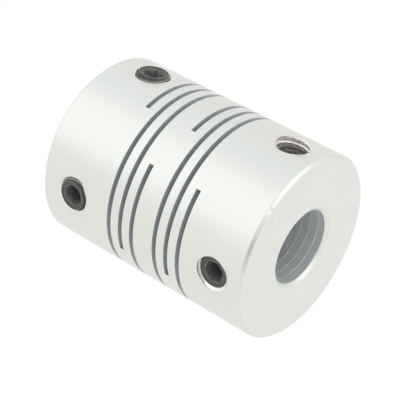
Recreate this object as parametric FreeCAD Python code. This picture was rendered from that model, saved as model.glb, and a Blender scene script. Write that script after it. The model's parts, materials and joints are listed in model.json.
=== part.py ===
"""Slit-type beam coupling for an 8 mm and a 5 mm shaft, 20 mm across and 26 mm long.

The real coupling is one aluminium bar and four set screws.  Eight saw cuts turn the middle
of the bar into a flexure: each cut leaves one bridge of metal, the next cut leaves its
bridge on the opposite side, and every second pair of cuts is turned by a quarter turn.
The bar is divided here at the faces of the cuts, into two hubs, seven webs and eight
bridges, so that every cut can hinge on its own bridge.

Frame: X along the shafts, +X out of the 8 mm hub, origin at the middle of the coupling.
+Z points to the bridge of the first cut.  Lengths are in mm and angles in degrees, turned
about the X axis from +Y towards +Z.
"""
import FreeCAD, Part

import math
import os

from FreeCAD import Vector

# Body
OUTER_RADIUS = 20.0 / 2
HALF_LENGTH = 26.0 / 2
WIDE_BORE_RADIUS = 8.0 / 2
NARROW_BORE_RADIUS = 5.0 / 2
OUTER_CHAMFER = 0.32
BORE_CHAMFER = 0.42
BORE_CHAMFER_DEPTH = 0.32

# Saw cuts, counted from the 8 mm hub; the whole set sits a little towards the 5 mm end
CUT_COUNT = 8
CUTS_MIDDLE = -0.07
CUT_PITCH = 1.5
CUT_WIDTH = 0.52
CUT_DEPTH_PAST_AXIS = 5.1
BRIDGE_ANGLES = (90.0, 270.0, 0.0, 180.0)

# Set screws, M4 x 4 with a cup point and a hexagon socket
SCREW_RADIUS = 4.0 / 2
SCREW_LENGTH = 4.0
TAPPED_HOLE_RADIUS = 2.04
SOCKET_END_CHAMFER = 0.5
POINT_CHAMFER = 0.7
CUP_RADIUS = 1.05
CUP_DEPTH = 0.55
HEX_ACROSS_FLATS = 2.0
HEX_DEPTH = 2.0
SCREWS = (
    # name, distance from the coupling's middle, angle about the shafts, depth below the surface
    ("set_screw_8mm_upper", HALF_LENGTH - 3.55, 93.0, 1.07),
    ("set_screw_8mm_lower", HALF_LENGTH - 3.55, 189.4, 0.28),
    ("set_screw_5mm_upper", 4.3 - HALF_LENGTH, 93.0, -0.24),
    ("set_screw_5mm_lower", 4.3 - HALF_LENGTH, 189.4, -0.14),
)

SHAFT_AXIS = Vector(1, 0, 0)


def outward(angle):
    """The unit vector square to the shafts that points out at this angle."""
    return Vector(0, math.cos(math.radians(angle)), math.sin(math.radians(angle)))


def turned(profile):
    """A solid of revolution about the shafts from (distance along X, radius) points."""
    points = [Vector(x, radius, 0) for x, radius in profile]
    face = Part.Face(Part.makePolygon(points + points[:1]))
    return face.revolve(Vector(0, 0, 0), SHAFT_AXIS, 360)


def ring(low, high, bore_radius):
    """A plain slice of the bored bar between two places on the X axis."""
    return turned([(low, bore_radius), (high, bore_radius), (high, OUTER_RADIUS), (low, OUTER_RADIUS)])


def cut_middle(number):
    """The X place of a saw cut's mid-plane, for cuts numbered from 1 at the 8 mm hub."""
    return CUTS_MIDDLE + (CUT_COUNT + 1 - 2 * number) / 2 * CUT_PITCH


def tapped_holes(end):
    """The two holes for the set screws of one end, +1 at the 8 mm hub and -1 at the 5 mm hub."""
    holes = []
    for name, place, angle, depth in SCREWS:
        if place * end > 0:
            foot = Vector(place, 0, 0)
            holes.append(Part.makeCylinder(TAPPED_HOLE_RADIUS, 2 * OUTER_RADIUS, foot, outward(angle)))
    return holes


def hub(end, bore_radius):
    """One clamping end, from its face to the nearest cut, with both edges broken."""
    inner = cut_middle(1 if end > 0 else CUT_COUNT) + end * CUT_WIDTH / 2
    face = end * HALF_LENGTH
    body = turned([
        (inner, bore_radius),
        (face - end * BORE_CHAMFER_DEPTH, bore_radius),
        (face, bore_radius + BORE_CHAMFER),
        (face, OUTER_RADIUS - OUTER_CHAMFER),
        (face - end * OUTER_CHAMFER, OUTER_RADIUS),
        (inner, OUTER_RADIUS),
    ])
    return body.cut(tapped_holes(end))


def web(number):
    """The thin disc between cut number and the next one; the middle web has the bore's step."""
    high = cut_middle(number) - CUT_WIDTH / 2
    low = cut_middle(number + 1) + CUT_WIDTH / 2
    if high <= CUTS_MIDDLE:
        return ring(low, high, NARROW_BORE_RADIUS)
    if low >= CUTS_MIDDLE:
        return ring(low, high, WIDE_BORE_RADIUS)
    narrow_half = ring(low, CUTS_MIDDLE, NARROW_BORE_RADIUS)
    return narrow_half.fuse(ring(CUTS_MIDDLE, high, WIDE_BORE_RADIUS))


def bridge(number):
    """The segment of metal that a cut leaves standing, flat on its inner side."""
    foot = Vector(cut_middle(number) - CUT_WIDTH / 2, 0, 0)
    disc = Part.makeCylinder(OUTER_RADIUS, CUT_WIDTH, foot, SHAFT_AXIS)
    sawn_away = Part.makeBox(CUT_WIDTH, 4 * OUTER_RADIUS, 2 * OUTER_RADIUS + CUT_DEPTH_PAST_AXIS)
    sawn_away.translate(foot + Vector(0, -2 * OUTER_RADIUS, -2 * OUTER_RADIUS))
    segment = disc.cut(sawn_away)
    angle = BRIDGE_ANGLES[(number - 1) % len(BRIDGE_ANGLES)]
    segment.rotate(Vector(0, 0, 0), SHAFT_AXIS, angle - 90)
    return segment


def hexagon_socket():
    """The key's hole in a screw that stands on the origin with its socket end at the top."""
    corner_radius = HEX_ACROSS_FLATS / math.sqrt(3)
    corners = []
    for step in range(6):
        turn = math.radians(60 * step)
        corners.append(Vector(corner_radius * math.cos(turn), corner_radius * math.sin(turn), 0))
    prism = Part.Face(Part.makePolygon(corners + corners[:1])).extrude(Vector(0, 0, HEX_DEPTH))
    prism.translate(Vector(0, 0, SCREW_LENGTH - HEX_DEPTH))
    drill_point = Part.makeCone(0, HEX_ACROSS_FLATS / 2, HEX_ACROSS_FLATS / 4)
    drill_point.translate(Vector(0, 0, SCREW_LENGTH - HEX_DEPTH - HEX_ACROSS_FLATS / 4))
    return prism.fuse(drill_point)


def set_screw(place, angle, depth):
    """One set screw in its hole, with its cup point towards the shaft."""
    profile = [
        Vector(0, 0, CUP_DEPTH),
        Vector(CUP_RADIUS, 0, 0),
        Vector(SCREW_RADIUS - POINT_CHAMFER, 0, 0),
        Vector(SCREW_RADIUS, 0, POINT_CHAMFER),
        Vector(SCREW_RADIUS, 0, SCREW_LENGTH - SOCKET_END_CHAMFER),
        Vector(SCREW_RADIUS - SOCKET_END_CHAMFER, 0, SCREW_LENGTH),
        Vector(0, 0, SCREW_LENGTH),
    ]
    outline = Part.Face(Part.makePolygon(profile + profile[:1]))
    screw = outline.revolve(Vector(0, 0, 0), Vector(0, 0, 1), 360)
    screw = screw.cut(hexagon_socket())
    point = OUTER_RADIUS - depth - SCREW_LENGTH
    screw.rotate(Vector(0, 0, 0), SHAFT_AXIS, angle - 90)
    screw.translate(Vector(place, 0, 0) + outward(angle) * point)
    return screw


def save(name, shape):
    """Write one piece to its own file, after making sure that it is a single sound solid."""
    solid = shape.removeSplitter()
    if len(solid.Solids) != 1 or not solid.isValid():
        raise ValueError(name + " is not one sound solid")
    solid.Solids[0].exportStep("parts/" + name + ".step")


def main():
    os.makedirs("parts", exist_ok=True)
    save("hub_8mm_bore", hub(1, WIDE_BORE_RADIUS))
    save("hub_5mm_bore", hub(-1, NARROW_BORE_RADIUS))
    for number in range(1, CUT_COUNT):
        save("flexure_web_" + str(number), web(number))
    for number in range(1, CUT_COUNT + 1):
        save("flexure_bridge_" + str(number), bridge(number))
    for name, place, angle, depth in SCREWS:
        save(name, set_screw(place, angle, depth))


main()
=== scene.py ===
"""The looks of a slit-type beam coupling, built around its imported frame.

Everything is in metres in the row frame: X along the shafts, +X out of the 8 mm bore.
Angles are turned about the X axis, from +Y towards +Z.
"""

import json
import math

import bmesh
import bpy
from mathutils import Matrix, Vector


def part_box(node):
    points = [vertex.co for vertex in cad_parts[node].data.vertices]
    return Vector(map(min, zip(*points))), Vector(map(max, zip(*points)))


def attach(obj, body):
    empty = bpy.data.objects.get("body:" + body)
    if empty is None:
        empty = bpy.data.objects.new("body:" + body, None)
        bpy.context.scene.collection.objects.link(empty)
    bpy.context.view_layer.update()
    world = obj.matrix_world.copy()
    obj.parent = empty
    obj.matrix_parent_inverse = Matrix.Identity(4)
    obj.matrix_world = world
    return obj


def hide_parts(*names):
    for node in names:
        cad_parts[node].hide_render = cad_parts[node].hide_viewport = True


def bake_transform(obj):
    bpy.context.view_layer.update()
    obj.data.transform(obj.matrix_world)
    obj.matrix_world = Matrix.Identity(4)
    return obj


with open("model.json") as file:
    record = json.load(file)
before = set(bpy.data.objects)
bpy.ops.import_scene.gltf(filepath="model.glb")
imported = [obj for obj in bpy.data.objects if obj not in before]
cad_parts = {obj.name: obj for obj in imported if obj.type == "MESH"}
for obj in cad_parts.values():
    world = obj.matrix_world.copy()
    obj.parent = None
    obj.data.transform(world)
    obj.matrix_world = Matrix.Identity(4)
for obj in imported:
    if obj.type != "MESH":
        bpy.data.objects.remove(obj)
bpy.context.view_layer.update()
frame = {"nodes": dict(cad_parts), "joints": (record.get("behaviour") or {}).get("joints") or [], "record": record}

MM = 0.001
MOUNTS = {m["name"]: m for m in frame["record"]["mounts"]}
JOINTS = {j["name"]: j for j in frame["joints"]}

# Body of the coupling
OUTER_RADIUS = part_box("flexure_web_1")[1].y
HALF_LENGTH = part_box("hub_8mm_bore")[1].x
BORES = {1: MOUNTS["bore_8mm"]["dims"]["r_mm"] * MM, -1: MOUNTS["bore_5mm"]["dims"]["r_mm"] * MM}
OUTER_CHAMFER = 0.32 * MM
BORE_CHAMFER = 0.42 * MM
BORE_CHAMFER_DEPTH = 0.32 * MM
CUT_COUNT = 8
MIDDLE_WEB = CUT_COUNT // 2
CUT_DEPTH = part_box("flexure_bridge_1")[0].z
BRIDGE_HALF_ANGLE = math.acos(CUT_DEPTH / OUTER_RADIUS)
CUT_EDGE = 0.035 * MM
FILLED_CUT_EDGE = CUT_EDGE / 20
TURNED_EDGE = 0.06 * MM
BORE_LIP = 0.12 * MM

# How finely the meshes are made, and the angle above which an edge stays sharp
COLUMNS = 360
EASE_STEPS = 3
BRIDGE_SLICES = 8
BRIDGE_COLUMNS = 118
WELD_DISTANCE = 1e-8
SHARP_ANGLE = math.radians(38)

# How near the body's surface a place still counts as lying on it
SURFACE_SLACK = 0.01 * MM
EASED_SLACK = 0.7 * CUT_EDGE

# A small ding on the rim and a pit in the face of the 8 mm hub
DING_ANGLE = math.radians(141.0)
DING_HALF_ANGLE = math.radians(1.8)
DING_DEPTH = 0.12 * MM
DING_LENGTH = 0.25 * MM
PIT_ANGLE = math.radians(139.5)
PIT_PLACE = 7.76 * MM
PIT_RADIUS = 0.1 * MM

# The spiral that the boring tool left in the bores; its ridge is also painted lighter as a highlight
SPIRAL_PITCH = 0.95 * MM
SPIRAL_HEIGHT = 0.03 * MM
SPIRAL_HALF_WIDTH = 0.08
SPIRAL_START = 0.08
SPIRAL_FADE = SPIRAL_PITCH / 3
SPIRAL_STEPS = 20

# M4 threads: (smallest, largest) radii about the screw's axis, and the angle at which each starts
THREAD_PITCH = 0.7 * MM
HOLE_THREAD = (1.63 * MM, 2.0 * MM)
SCREW_THREAD = (1.57 * MM, 1.95 * MM)
THREAD_INNER_FLAT = 0.25
THREAD_OUTER_FLAT = 0.125
THREAD_STARTS = {"8mm_upper": 140.0, "8mm_lower": 93.0, "5mm_upper": 121.0, "5mm_lower": -59.0}
THREAD_STEPS = 16
THREAD_COLUMNS = 96

# Tapped holes: how their mouths are broken, and where the tool that cuts them starts and stops
MOUTH_BREAK = 0.15 * MM
MOUTH_DROP = 0.14 * MM
TOOL_FOOT = 0.4
TOOL_OVERREACH = 0.5 * MM

# M4 x 4 set screw
SCREW_NAMES = ("8mm_upper", "8mm_lower", "5mm_upper", "5mm_lower")
TOP_RADIUS = 1.54 * MM
TIP_RADIUS = 1.3 * MM
SCREW_EDGE = 0.02 * MM
CREST_RADIUS = 0.98 * SCREW_THREAD[1]
CUP_RADIUS = 1.05 * MM
CUP_DEPTH = 0.55 * MM
HEX_APOTHEM = 1.0 * MM
HEX_DEPTH = 2.0 * MM
HEX_EDGE = 0.07 * MM
# How much lighter the socket's walls are painted: painted light inside the recess
HEX_WALL_PAINTED_LIGHT = 0.9
HEX_RIM_WEAR = 0.3
DRILL_RADIUS = 0.97 * MM
DRILL_POINT = 0.5 * MM
DISH_RADIUS = 1.38 * MM
DISH_SLOPE = math.tan(math.radians(15))
HEX_CORNER_ANGLES = {"8mm_upper": 48.0, "8mm_lower": 15.0, "5mm_upper": 21.0, "5mm_lower": 43.0}


# ---------------------------------------------------------------- mesh helpers

def on_cylinder(x, radius, angle):
    """The point at x along the shafts, a radius away from them, at an angle about them."""
    return Vector((x, radius * math.cos(angle), radius * math.sin(angle)))


def angle_apart(a, b):
    """The size of the smaller angle between two directions."""
    return abs((a - b + math.pi) % (2 * math.pi) - math.pi)


def eased(corners):
    """Round the corners of a closed outline of (x, radius, easing, wear) points, and flag the worn edges and
    painted highlights.
    """
    points = []
    for i, (x, r, ease, wear_and_highlight) in enumerate(corners):
        here = Vector((x, r))
        if ease == 0:
            points.append((x, r, wear_and_highlight))
            continue
        before = Vector(corners[i - 1][:2]) - here
        after = Vector(corners[(i + 1) % len(corners)][:2]) - here
        start = here + before.normalized() * ease
        end = here + after.normalized() * ease
        for step in range(EASE_STEPS + 1):
            t = step / EASE_STEPS
            p = start * (1 - t) ** 2 + here * (2 * t * (1 - t)) + end * t ** 2
            points.append((p.x, p.y, wear_and_highlight if 0 < step < EASE_STEPS else 0.0))
    return points


def new_piece(name, mesh_builder, wear_and_highlight_values=None):
    """An object from a bmesh, with its faces turned outwards, and the values of worn edges and painted highlights
    on its points when given.
    """
    mesh = bpy.data.meshes.new(name)
    bmesh.ops.recalc_face_normals(mesh_builder, faces=mesh_builder.faces)
    mesh_builder.to_mesh(mesh)
    mesh_builder.free()
    if wear_and_highlight_values is not None:
        attribute = mesh.attributes.new("edge_wear_and_highlight", "FLOAT", "POINT")
        attribute.data.foreach_set("value", wear_and_highlight_values)
    piece = bpy.data.objects.new(name, mesh)
    bpy.context.scene.collection.objects.link(piece)
    return piece


def thread_depth(point, x, direction):
    """How far a point on the wall of the tapped hole at x is from crest (0) to root (1), or None."""
    offset = point - Vector((x, 0, 0))
    height = offset.dot(direction)
    radius = (offset - direction * height).length
    if height < 0 or radius > HOLE_THREAD[1] + MOUTH_BREAK:
        return None
    return max(0.0, (radius - HOLE_THREAD[0]) / (HOLE_THREAD[1] - HOLE_THREAD[0]))


def mark_cut_metal(piece, holes=()):
    """Flag the faces that were cut last: bare metal, tapped holes, and how near a thread's root, which sets the
    shade painted into the roots.
    """
    bare, tapped, roots = [], [], []
    for face in piece.data.polygons:
        below_skin = OUTER_RADIUS - math.hypot(face.center.y, face.center.z)
        depths = [thread_depth(face.center, x, direction) for x, direction in holes]
        depths = [depth for depth in depths if depth is not None and below_skin > SURFACE_SLACK]
        threaded = len(depths) > 0
        inside = below_skin > EASED_SLACK and abs(face.center.x) < HALF_LENGTH - OUTER_CHAMFER
        bare.append(1.0 if inside and not threaded else 0.0)
        tapped.append(1.0 if threaded else 0.0)
        roots.append(max(depths, default=0.0))
    for name, marks in (("bare_metal", bare), ("tapped", tapped), ("thread_root", roots)):
        attribute = piece.data.attributes.new(name, "FLOAT", "FACE")
        attribute.data.foreach_set("value", marks)


def shade(piece):
    """Smooth shading that keeps the sharp edges and follows the larger faces."""
    piece.data.shade_smooth()
    piece.data.set_sharp_from_angle(angle=SHARP_ANGLE)
    weighted = piece.modifiers.new("weighted", "WEIGHTED_NORMAL")
    weighted.keep_sharp = True
    return piece


def turned_piece(name, outline_at):
    """A ring-shaped body. outline_at(angle) gives its closed section as (x, radius, edge) points."""
    builder = bmesh.new()
    columns, wear_and_highlight_values = [], []
    for i in range(COLUMNS):
        angle = 2 * math.pi * i / COLUMNS
        outline = outline_at(angle)
        columns.append([builder.verts.new(on_cylinder(x, r, angle)) for x, r, edge in outline])
        wear_and_highlight_values += [edge for x, r, edge in outline]
    count = len(columns[0])
    for i in range(COLUMNS):
        here, following = columns[i], columns[(i + 1) % COLUMNS]
        for k in range(count):
            m = (k + 1) % count
            builder.faces.new((here[k], here[m], following[m], following[k]))
    return new_piece(name, builder, wear_and_highlight_values)


def lathe_about_z(name, rings):
    """A closed body from rings of (radius, height, wear) points; a ring of one point is a pole."""
    builder = bmesh.new()
    rows, wear_and_highlight_values = [], []
    for ring in rings:
        row = []
        for i, (radius, height, wear_and_highlight) in enumerate(ring):
            turn = 2 * math.pi * i / THREAD_COLUMNS
            row.append(builder.verts.new((radius * math.cos(turn), radius * math.sin(turn), height)))
            wear_and_highlight_values.append(wear_and_highlight)
        rows.append(row)
    for lower, upper in zip(rows, rows[1:]):
        for i in range(THREAD_COLUMNS):
            m = (i + 1) % THREAD_COLUMNS
            if len(lower) == 1:
                builder.faces.new((lower[0], upper[i], upper[m]))
            elif len(upper) == 1:
                builder.faces.new((lower[i], lower[m], upper[0]))
            else:
                builder.faces.new((lower[i], lower[m], upper[m], upper[i]))
    return new_piece(name, builder, wear_and_highlight_values)


def round_ring(radius, height, wear_and_highlight=0.0):
    """One level ring of points for lathe_about_z."""
    return [(radius, height, wear_and_highlight)] * THREAD_COLUMNS


def thread_radius(radii, height, turn):
    """The radius of an M4 thread at a height above the shaft axis and an angle about the screw."""
    smallest, largest = radii
    phase = (height / THREAD_PITCH - turn / (2 * math.pi)) % 1.0
    climbed = abs(phase - 0.5) * 2
    share = (climbed - THREAD_INNER_FLAT) / (1 - THREAD_INNER_FLAT - THREAD_OUTER_FLAT)
    return smallest + (largest - smallest) * min(1.0, max(0.0, share))


def place_along(piece, x, direction):
    """Stand a piece that was made about Z on the shaft axis at x, pointing in a direction."""
    side = direction.cross(Vector((1, 0, 0)))
    turn = Matrix((Vector((1, 0, 0)), side, direction)).transposed().to_4x4()
    piece.data.transform(Matrix.Translation((x, 0, 0)) @ turn)


def subtract(piece, tools):
    """Cut closed tools out of a piece."""
    for tool in tools:
        cut = piece.modifiers.new("cut", "BOOLEAN")
        cut.operation = "DIFFERENCE"
        cut.solver = "EXACT"
        cut.object = tool
    depsgraph = bpy.context.evaluated_depsgraph_get()
    result = bpy.data.meshes.new_from_object(piece.evaluated_get(depsgraph))
    piece.modifiers.clear()
    piece.data = result
    for tool in tools:
        bpy.data.objects.remove(tool)


# ---------------------------------------------------------------- the pieces

def screw_facts(name):
    """Where a set screw stands, which way it points out, and its lowest and highest reach."""
    inward = Vector(JOINTS["screw_" + name + "_feed"]["axis"])
    low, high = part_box("set_screw_" + name)
    reaches = [-v.co.dot(inward) for v in frame["nodes"]["set_screw_" + name].data.vertices]
    return (low.x + high.x) / 2, -inward, min(reaches), max(reaches)


def bridge_angle(number):
    """The direction in which a cut's bridge stands, from its hinge's place."""
    place = JOINTS["cut_" + str(number) + "_flex"]["pos_m"]
    return math.atan2(place[2], place[1])


def cut_easing(number, angle):
    """How much the edge of a cut is eased: nothing where its bridge fills the cut."""
    open_here = angle_apart(angle, bridge_angle(number)) > BRIDGE_HALF_ANGLE
    return CUT_EDGE if open_here else FILLED_CUT_EDGE


def spiral(x, angle, start, end):
    """How far a place on a bore's wall is up the tool's spiral ridge, which fades at both ends."""
    phase = (x / SPIRAL_PITCH - angle / (2 * math.pi) + SPIRAL_START) % 1.0
    ridge = max(0.0, 1 - abs(phase - 0.5) / SPIRAL_HALF_WIDTH)
    fade = min(1.0, abs(x - start) / SPIRAL_FADE, abs(x - end) / SPIRAL_FADE)
    return ridge * fade


def ding(end, angle):
    """How far the rim is knocked in at an angle: only in one place, on the 8 mm hub."""
    if end < 0:
        return 0.0
    return DING_DEPTH * max(0.0, 1 - angle_apart(angle, DING_ANGLE) / DING_HALF_ANGLE)


def tapped_hole_tool(name, end):
    """The threaded tool that cuts one tapped hole, from inside the bore to outside the body."""
    x, direction = screw_facts(name)[:2]
    thread_start = math.radians(THREAD_STARTS[name])
    start, stop = BORES[end] * TOOL_FOOT, OUTER_RADIUS + TOOL_OVERREACH
    count = round((stop - start) / THREAD_PITCH * THREAD_STEPS)
    rings = [[(0.0, start, 0.0)]]
    for row in range(count + 1):
        height = start + (stop - start) * row / count
        mouth = HOLE_THREAD[0] + MOUTH_BREAK - max(0.0, OUTER_RADIUS - MOUTH_DROP - height)
        ring = []
        for i in range(THREAD_COLUMNS):
            turn = 2 * math.pi * i / THREAD_COLUMNS
            radius = thread_radius(HOLE_THREAD, height, turn + thread_start)
            ring.append((max(radius, mouth), height, 0.0))
        rings.append(ring)
    rings.append([(0.0, stop, 0.0)])
    tool = lathe_about_z("tool_" + name, rings)
    place_along(tool, x, direction)
    return tool


def make_hub(node, end, cut_number, screw_names):
    """One clamping end: end is +1 for the 8 mm hub and -1 for the 5 mm hub."""
    low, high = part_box(node)
    face, inner = (high.x, low.x) if end > 0 else (low.x, high.x)
    bore = BORES[end]
    wall_end = face - end * BORE_CHAMFER_DEPTH
    count = round(abs(wall_end - inner) / SPIRAL_PITCH * SPIRAL_STEPS)

    def outline_at(angle):
        wall = []
        for step in range(1, count):
            x = inner + (wall_end - inner) * step / count
            ridge = spiral(x, angle, inner, wall_end)
            # The spiral ridge is flagged like a worn edge, so it is painted lighter: a painted highlight
            wall.append((x, bore - SPIRAL_HEIGHT * ridge, 0, ridge))
        knock = ding(end, angle)
        # The edges at the cut are flagged 1: lighter as worn edges and as painted highlights
        return eased(
            [(inner, bore, CUT_EDGE, 1)]
            + wall
            + [
                (wall_end, bore, BORE_LIP, 0),
                (face, bore + BORE_CHAMFER, TURNED_EDGE, 0),
                (face, OUTER_RADIUS - OUTER_CHAMFER, TURNED_EDGE, 0),
                (face - end * OUTER_CHAMFER, OUTER_RADIUS - knock, TURNED_EDGE, knock / DING_DEPTH),
                (face - end * (OUTER_CHAMFER + DING_LENGTH), OUTER_RADIUS, 0, 0),
                (inner, OUTER_RADIUS, cut_easing(cut_number, angle), 1),
            ]
        )

    hub = turned_piece(node.replace("_bore", "_body"), outline_at)
    subtract(hub, [tapped_hole_tool(name, end) for name in screw_names])
    mark_cut_metal(hub, [screw_facts(name)[:2] for name in screw_names])
    return shade(hub)


def make_web(number):
    """The thin disc between a cut and the next one, its edges eased where the cuts are open."""
    low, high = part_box("flexure_web_" + str(number))
    middle = (low.x + high.x) / 2
    low_bore = BORES[1 if number < MIDDLE_WEB else -1]
    high_bore = BORES[1 if number <= MIDDLE_WEB else -1]
    step = []
    if number == MIDDLE_WEB:
        step = [(middle, low_bore, CUT_EDGE, 1), (middle, high_bore, CUT_EDGE, 1)]

    def outline_at(angle):
        # Each eased edge is flagged 1: lighter as worn edges and as painted highlights
        return eased(
            [(low.x, low_bore, CUT_EDGE, 1)]
            + step
            + [
                (high.x, high_bore, CUT_EDGE, 1),
                (high.x, OUTER_RADIUS, cut_easing(number, angle), 1),
                (low.x, OUTER_RADIUS, cut_easing(number + 1, angle), 1),
            ]
        )

    disc = turned_piece("web_disc_" + str(number), outline_at)
    mark_cut_metal(disc)
    return shade(disc)


def make_bridge(number):
    """The segment that a cut leaves standing, made in slices along the shafts."""
    low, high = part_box("flexure_bridge_" + str(number))
    middle_angle = bridge_angle(number)
    builder = bmesh.new()
    inner_rows, outer_rows = [], []
    for s in range(BRIDGE_SLICES + 1):
        x = low.x + (high.x - low.x) * s / BRIDGE_SLICES
        inner, outer = [], []
        for c in range(BRIDGE_COLUMNS + 1):
            aside = BRIDGE_HALF_ANGLE * (2 * c / BRIDGE_COLUMNS - 1)
            flat = CUT_DEPTH / math.cos(aside)
            angle = middle_angle + aside
            inner.append(builder.verts.new(on_cylinder(x, flat, angle)))
            outer.append(builder.verts.new(on_cylinder(x, OUTER_RADIUS, angle)))
        inner_rows.append(inner)
        outer_rows.append(outer)
    for s in range(BRIDGE_SLICES):
        for c in range(BRIDGE_COLUMNS):
            for lower, upper in ((inner_rows[s], inner_rows[s + 1]), (outer_rows[s], outer_rows[s + 1])):
                builder.faces.new((lower[c], lower[c + 1], upper[c + 1], upper[c]))
    for inner, outer in ((inner_rows[0], outer_rows[0]), (inner_rows[-1], outer_rows[-1])):
        for c in range(BRIDGE_COLUMNS):
            builder.faces.new((inner[c], outer[c], outer[c + 1], inner[c + 1]))
    bmesh.ops.remove_doubles(builder, verts=builder.verts, dist=WELD_DISTANCE)
    segment = new_piece("bridge_" + str(number), builder)
    mark_cut_metal(segment)
    return shade(segment)


def dish_height(top, radius):
    """The height of a set screw's shallow dished end at a distance from the screw's axis."""
    return top - (DISH_RADIUS - radius) * DISH_SLOPE


def make_screw(name):
    """One M4 set screw with a real thread, a hexagon socket and a cup point."""
    x, direction, tip, top = screw_facts(name)
    corner_angle = math.radians(HEX_CORNER_ANGLES[name])
    thread_start = math.radians(THREAD_STARTS[name])
    turns = [2 * math.pi * i / THREAD_COLUMNS for i in range(THREAD_COLUMNS)]
    sixth = math.pi / 3
    hexagon = [HEX_APOTHEM / math.cos((t - corner_angle) % sixth - sixth / 2) for t in turns]
    floor = top - HEX_DEPTH
    rings = [
        [(0.0, floor - DRILL_POINT, 0.0)],
        round_ring(DRILL_RADIUS, floor),
        # The socket's walls are painted lighter, as painted light inside the recess
        [(r, floor + SCREW_EDGE, HEX_WALL_PAINTED_LIGHT) for r in hexagon],
        [(r, dish_height(top, r) - HEX_EDGE, HEX_WALL_PAINTED_LIGHT) for r in hexagon],
        [(r + HEX_EDGE, dish_height(top, r + HEX_EDGE), HEX_RIM_WEAR) for r in hexagon],
        round_ring(DISH_RADIUS, top),
        round_ring(TOP_RADIUS - 3 * SCREW_EDGE, top),
        round_ring(TOP_RADIUS - SCREW_EDGE, top, 1.0),
    ]
    rows = round((top - tip) / THREAD_PITCH * THREAD_STEPS)
    for row in range(rows + 1):
        height = top - SCREW_EDGE - (top - tip - 2 * SCREW_EDGE) * row / rows
        limit = min(TOP_RADIUS + (top - height), TIP_RADIUS + (height - tip))
        ring = []
        for t in turns:
            radius = thread_radius(SCREW_THREAD, height, t + thread_start)
            crest = 1.0 if radius > CREST_RADIUS else 0.0
            ring.append((min(radius, limit), height, crest))
        rings.append(ring)
    rings += [
        round_ring(TIP_RADIUS - SCREW_EDGE, tip, 1.0),
        round_ring(CUP_RADIUS, tip, 1.0),
        [(0.0, tip + CUP_DEPTH, 0.0)],
    ]
    screw = lathe_about_z("grub_screw_" + name, rings)
    place_along(screw, x, direction)
    return shade(screw)


# ---------------------------------------------------------------- materials

class Nodes:
    """A short way to add and join shader nodes in one tree."""

    def __init__(self, tree):
        self.tree = tree

    def add(self, kind, inputs=(), **settings):
        node = self.tree.nodes.new(kind)
        for key, value in settings.items():
            setattr(node, key, value)
        for key, value in dict(inputs).items():
            if isinstance(value, bpy.types.NodeSocket):
                self.tree.links.new(value, node.inputs[key])
            else:
                node.inputs[key].default_value = value
        return node

    def math(self, operation, a, b=0.0):
        return self.add("ShaderNodeMath", {0: a, 1: b}, operation=operation).outputs[0]

    def attribute(self, name):
        return self.add("ShaderNodeAttribute", attribute_name=name).outputs["Fac"]

    def noise(self, vector, scale, detail=2.0, roughness=0.5):
        settings = {"Vector": vector, "Scale": scale, "Detail": detail, "Roughness": roughness}
        return self.add("ShaderNodeTexNoise", settings).outputs["Fac"]

    def spread(self, value, low, high, start=0.0, end=1.0):
        """Stretch a value, so that start becomes low and end becomes high."""
        limits = {"Value": value, "From Min": start, "From Max": end, "To Min": low, "To Max": high}
        return self.add("ShaderNodeMapRange", limits).outputs["Result"]

    def blend(self, share, a, b):
        """Mix two colours; the colour sockets of a Mix node are inputs 6 and 7 and output 2."""
        return self.add("ShaderNodeMix", {"Factor": share, 6: a, 7: b}, data_type="RGBA").outputs[2]


def start_material(name):
    """A new material with its node helper, its shader and the place on the object's mesh."""
    material = bpy.data.materials.new(name)
    material.use_nodes = True
    nodes = Nodes(material.node_tree)
    shader = material.node_tree.nodes["Principled BSDF"]
    place = nodes.add("ShaderNodeTexCoord").outputs["Object"]
    return material, nodes, shader, place


# The aluminium's colours, from its plain skin to the metal that was cut last, the painted shade in the thread
# roots and the dirt in the pit
DULL_SKIN = (0.715, 0.725, 0.685, 1)
BRIGHT_SKIN = (0.75, 0.755, 0.715, 1)
TURNING_LINE = (0.685, 0.69, 0.66, 1)
FACED_END = (0.84, 0.85, 0.82, 1)
# Lighter worn edges, and painted highlights on the cut edges and the bores' spiral ridges
WORN_EDGE_AND_HIGHLIGHT = (0.9, 0.9, 0.89, 1)
CUT_METAL = (0.75, 0.78, 0.785, 1)
TAPPED_METAL = (0.93, 0.915, 0.875, 1)
# Painted shade, darker and browner towards the roots of the tapped threads
THREAD_ROOT_SHADE = (0.5, 0.45, 0.38, 1)
PIT_DIRT = (0.3, 0.27, 0.22, 1)

# How often the aluminium's patterns repeat in a metre, and how far they run with a radian of turn
LINE_SCALE = 15200.0
GRAIN_SCALE = 13300.0
CLOUD_SCALE = 247.0
LINE_DRIFT = 0.042 * MM

# How strongly the faced ends and the painted shade in the thread roots show, and what each state does to the
# metal's finish
FACED_SHARE = 0.2
THREAD_ROOT_SHADE_SHARE = 0.3
BARE_METALLIC = 0.75
TAPPED_METALLIC_LOSS = 0.15
ROUGHEST_GRAIN = 0.03
WORN_POLISH = 0.14
BARE_ROUGHENING = 0.1
TAPPED_POLISH = 0.04


def turning_lines(nodes, x, y, z):
    """Fine rings about the shafts, as the turning tool leaves them."""
    squares = nodes.math("ADD", nodes.math("MULTIPLY", y, y), nodes.math("MULTIPLY", z, z))
    radius = nodes.math("SQRT", squares)
    drift = nodes.math("MULTIPLY", nodes.math("ARCTAN2", z, y), LINE_DRIFT)
    around = nodes.add("ShaderNodeCombineXYZ", {0: x, 1: radius, 2: drift})
    return nodes.noise(around.outputs[0], LINE_SCALE, 3.0, 0.6)


def pit_mark(nodes, place):
    """1 in the small pit in the face of the 8 mm hub, and 0 outside it."""
    centre = on_cylinder(HALF_LENGTH, PIT_PLACE, PIT_ANGLE)
    away = nodes.add("ShaderNodeVectorMath", {0: place, 1: centre}, operation="DISTANCE")
    return nodes.spread(away.outputs["Value"], 1.0, 0.0, 0.5 * PIT_RADIUS, PIT_RADIUS)


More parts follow.
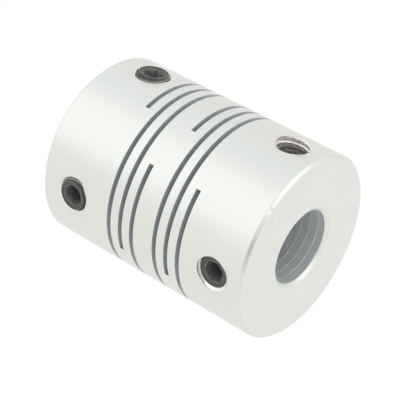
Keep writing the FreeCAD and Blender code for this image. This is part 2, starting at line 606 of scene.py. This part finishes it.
def aluminium():
    """Clear-anodised turned aluminium: satin, with faint turning lines, brighter worn edges with painted
    highlights on them and on the spiral ridges, and painted shade in the thread roots.
    """
    material, nodes, shader, place = start_material("satin_aluminium")
    x, y, z = nodes.add("ShaderNodeSeparateXYZ", {0: place}).outputs
    lines = turning_lines(nodes, x, y, z)
    grain = nodes.noise(place, GRAIN_SCALE, 2.0, 0.5)
    clouds = nodes.noise(place, CLOUD_SCALE, 4.0, 0.55)
    wear_and_highlight = nodes.attribute("edge_wear_and_highlight")
    bare = nodes.attribute("bare_metal")
    tapped = nodes.attribute("tapped")
    root = nodes.attribute("thread_root")
    faced = nodes.math("GREATER_THAN", nodes.math("ABSOLUTE", x), HALF_LENGTH - SURFACE_SLACK)

    tone = nodes.blend(nodes.spread(clouds, 0.0, 1.0, 0.3, 0.7), DULL_SKIN, BRIGHT_SKIN)
    layers = (
        (nodes.spread(lines, 0.0, 0.25, 0.35, 0.65), TURNING_LINE),
        (nodes.math("MULTIPLY", faced, FACED_SHARE), FACED_END),
        # Worn edges and painted highlights
        (wear_and_highlight, WORN_EDGE_AND_HIGHLIGHT),
        (nodes.math("SUBTRACT", bare, wear_and_highlight), CUT_METAL),
        (tapped, TAPPED_METAL),
        # Painted shade in the thread roots
        (nodes.math("MULTIPLY", root, THREAD_ROOT_SHADE_SHARE), THREAD_ROOT_SHADE),
        (pit_mark(nodes, place), PIT_DIRT),
    )
    for share, colour in layers:
        tone = nodes.blend(share, tone, colour)
    nodes.tree.links.new(tone, shader.inputs["Base Color"])

    tapped_loss = nodes.math("MULTIPLY", tapped, TAPPED_METALLIC_LOSS)
    metallic = nodes.math("SUBTRACT", nodes.spread(bare, 1.0, BARE_METALLIC), tapped_loss)
    nodes.tree.links.new(metallic, shader.inputs["Metallic"])

    uneven = nodes.spread(grain, -ROUGHEST_GRAIN, ROUGHEST_GRAIN)
    rough = nodes.math("ADD", nodes.spread(clouds, 0.36, 0.44, 0.3, 0.7), uneven)
    rough = nodes.math("SUBTRACT", rough, nodes.math("MULTIPLY", wear_and_highlight, WORN_POLISH))
    rough = nodes.math("ADD", rough, nodes.math("MULTIPLY", bare, BARE_ROUGHENING))
    rough = nodes.math("SUBTRACT", rough, nodes.math("MULTIPLY", tapped, TAPPED_POLISH))
    nodes.tree.links.new(rough, shader.inputs["Roughness"])

    relief = nodes.math("ADD", nodes.math("MULTIPLY", lines, 0.6), nodes.math("MULTIPLY", grain, 0.4))
    bump = nodes.add("ShaderNodeBump", {"Strength": 0.25, "Distance": 0.012 * MM, "Height": relief})
    nodes.tree.links.new(bump.outputs["Normal"], shader.inputs["Normal"])
    return material


# The black oxide's colours and the scales of its patterns
DARK_OXIDE = (0.032, 0.031, 0.03, 1)
GREY_OXIDE = (0.058, 0.055, 0.053, 1)
# Lighter worn edges, and the painted light on the socket walls
WORN_OXIDE_AND_PAINTED_LIGHT = (0.2, 0.19, 0.18, 1)
OXIDE_CLOUD_SCALE = 1500.0
OXIDE_GRAIN_SCALE = 22000.0


def black_oxide():
    """Blackened alloy steel, mottled and slightly oily."""
    material, nodes, shader, place = start_material("black_oxide_steel")
    clouds = nodes.noise(place, OXIDE_CLOUD_SCALE, 4.0, 0.6)
    grain = nodes.noise(place, OXIDE_GRAIN_SCALE, 2.0, 0.5)
    wear_and_highlight = nodes.attribute("edge_wear_and_highlight")
    tone = nodes.blend(nodes.spread(clouds, 0.0, 1.0, 0.35, 0.65), DARK_OXIDE, GREY_OXIDE)
    # Lighter on worn edges, and painted light on the hexagon socket's walls
    tone = nodes.blend(wear_and_highlight, tone, WORN_OXIDE_AND_PAINTED_LIGHT)
    nodes.tree.links.new(tone, shader.inputs["Base Color"])
    shader.inputs["Metallic"].default_value = 0.35
    shader.inputs["Specular IOR Level"].default_value = 0.6
    rough = nodes.math("ADD", nodes.spread(clouds, 0.3, 0.46), nodes.spread(grain, -0.05, 0.05))
    nodes.tree.links.new(rough, shader.inputs["Roughness"])
    bump = nodes.add("ShaderNodeBump", {"Strength": 0.35, "Distance": 0.01 * MM, "Height": grain})
    nodes.tree.links.new(bump.outputs["Normal"], shader.inputs["Normal"])
    return material


def matt(name, colour):
    """A dull material of one colour, and its shader."""
    material, nodes, shader, place = start_material(name)
    shader.inputs["Base Color"].default_value = colour
    shader.inputs["Roughness"].default_value = 1.0
    shader.inputs["Specular IOR Level"].default_value = 0.0
    return material, shader


# ---------------------------------------------------------------- stage, light and camera

WHITE = (1, 1, 1, 1)
FLOOR_COLOUR = (0.05, 0.05, 0.05, 1)
FLOOR_GLOW = 0.98
FLOOR_HALF_WIDTH = 3.0

# Softboxes: name, place in metres, side in metres, power in watts, colour
LIGHTS = (
    ("key", (-0.263, -0.353, 0.29), 0.58, 0.4, (0.9, 0.94, 1.0)),
    ("cool_fill", (-0.262, 0.074, 0.451), 0.316, 0.044, (0.45, 0.7, 1.0)),
    ("top", (0.395, 0.063, 0.342), 0.42, 0.377, (1.0, 1.0, 1.0)),
)

CARD_COLOUR = (0.12, 0.12, 0.12, 1)
CARD_FACING = Vector((0.83, -0.55, 0.0))
CARD_PLACE = Vector((47.4, -31.6, 0.0)) * MM
CARD_WIDTH = 21 * MM
CARD_HEIGHT = 13.7 * MM
CARD_GAP = 0.1 * MM

CAMERA_AZIMUTH = math.radians(33.28)
CAMERA_ELEVATION = math.radians(25.44)
CAMERA_ROLL = math.radians(12.71)
CAMERA_DISTANCE = 157.8 * MM
CAMERA_ASIDE = -0.207 * MM
CAMERA_RAISED = -0.6 * MM
CAMERA_LENS_MM = 138.3
CAMERA_SENSOR_MM = 36.0
CAMERA_NEAREST = 0.01
CAMERA_FARTHEST = 20.0

BOUNCES = 24


def make_floor(height):
    """A plain white floor that glows enough to look like a bright studio sweep."""
    builder = bmesh.new()
    bmesh.ops.create_grid(builder, x_segments=1, y_segments=1, size=FLOOR_HALF_WIDTH)
    floor = new_piece("floor", builder)
    floor.data.transform(Matrix.Translation((0, 0, height)))
    material, shader = matt("white_floor", FLOOR_COLOUR)
    shader.inputs["Emission Color"].default_value = WHITE
    shader.inputs["Emission Strength"].default_value = FLOOR_GLOW
    floor.data.materials.append(material)


def make_world():
    """An evenly white studio."""
    world = bpy.data.worlds.new("studio")
    world.use_nodes = True
    background = world.node_tree.nodes["Background"]
    background.inputs["Color"].default_value = WHITE
    background.inputs["Strength"].default_value = 1.0
    bpy.context.scene.world = world


def make_light(name, place, size, power, colour):
    """A square softbox that faces the coupling."""
    light = bpy.data.lights.new(name, "AREA")
    light.shape = "SQUARE"
    light.size = size
    light.energy = power
    light.color = colour
    lamp = bpy.data.objects.new(name, light)
    lamp.location = place
    lamp.rotation_mode = "QUATERNION"
    lamp.rotation_quaternion = Vector(place).to_track_quat("Z", "Y")
    bpy.context.scene.collection.objects.link(lamp)


def make_dark_card():
    """A grey card, upright just above the floor, that shows only in reflections."""
    builder = bmesh.new()
    along = CARD_FACING.cross(Vector((0, 0, 1))).normalized() * CARD_WIDTH
    foot = CARD_PLACE + Vector((0, 0, CARD_GAP - OUTER_RADIUS))
    corners = []
    for aside, raised in ((-0.5, 0), (0.5, 0), (0.5, 1), (-0.5, 1)):
        corners.append(builder.verts.new(foot + along * aside + Vector((0, 0, CARD_HEIGHT * raised))))
    builder.faces.new(corners)
    card = new_piece("dark_card", builder)
    card.visible_camera = False
    card.visible_shadow = False
    card.visible_diffuse = False
    material, shader = matt("dark_card", CARD_COLOUR)
    card.data.materials.append(material)


def make_camera():
    """A long lens that looks at the coupling from above and from the 8 mm end's side."""
    a, e = CAMERA_AZIMUTH, CAMERA_ELEVATION
    back = Vector((math.sin(a) * math.cos(e), -math.cos(a) * math.cos(e), math.sin(e)))
    level_right = Vector((math.cos(a), math.sin(a), 0))
    level_up = back.cross(level_right)
    right = level_right * math.cos(CAMERA_ROLL) + level_up * math.sin(CAMERA_ROLL)
    up = back.cross(right)
    data = bpy.data.cameras.new("camera")
    data.lens = CAMERA_LENS_MM
    data.sensor_width = CAMERA_SENSOR_MM
    data.clip_start = CAMERA_NEAREST
    data.clip_end = CAMERA_FARTHEST
    camera = bpy.data.objects.new("camera", data)
    place = back * CAMERA_DISTANCE + right * CAMERA_ASIDE + up * CAMERA_RAISED
    axes = Matrix((right, up, back)).transposed().to_4x4()
    camera.matrix_world = Matrix.Translation(place) @ axes
    bpy.context.scene.collection.objects.link(camera)
    bpy.context.scene.camera = camera


# ---------------------------------------------------------------- putting it together

def finish_piece(piece, node, material):
    """Give a piece its material, and let it stand for its plain CAD node."""
    piece.data.materials.clear()
    piece.data.materials.append(material)
    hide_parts(node)


def main():
    metal, black = aluminium(), black_oxide()

    hub_8mm = make_hub("hub_8mm_bore", 1, 1, ("8mm_upper", "8mm_lower"))
    finish_piece(hub_8mm, "hub_8mm_bore", metal)
    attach(hub_8mm, "hub_8mm")

    hub_5mm = make_hub("hub_5mm_bore", -1, CUT_COUNT, ("5mm_upper", "5mm_lower"))
    finish_piece(hub_5mm, "hub_5mm_bore", metal)
    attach(hub_5mm, "hub_5mm")

    for number in range(1, CUT_COUNT):
        web = make_web(number)
        finish_piece(web, "flexure_web_" + str(number), metal)
        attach(web, "web_" + str(number))

    for number in range(1, CUT_COUNT + 1):
        bridge = make_bridge(number)
        finish_piece(bridge, "flexure_bridge_" + str(number), metal)
        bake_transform(bridge)

    for name in SCREW_NAMES:
        screw = make_screw(name)
        finish_piece(screw, "set_screw_" + name, black)
        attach(screw, "screw_" + name)

    make_floor(-OUTER_RADIUS)
    make_world()
    for name, place, size, power, colour in LIGHTS:
        make_light(name, place, size, power, colour)
    make_dark_card()
    make_camera()
    bpy.context.scene.view_settings.view_transform = "Standard"
    bpy.context.scene.cycles.max_bounces = BOUNCES
    bpy.context.scene.cycles.glossy_bounces = BOUNCES


main()
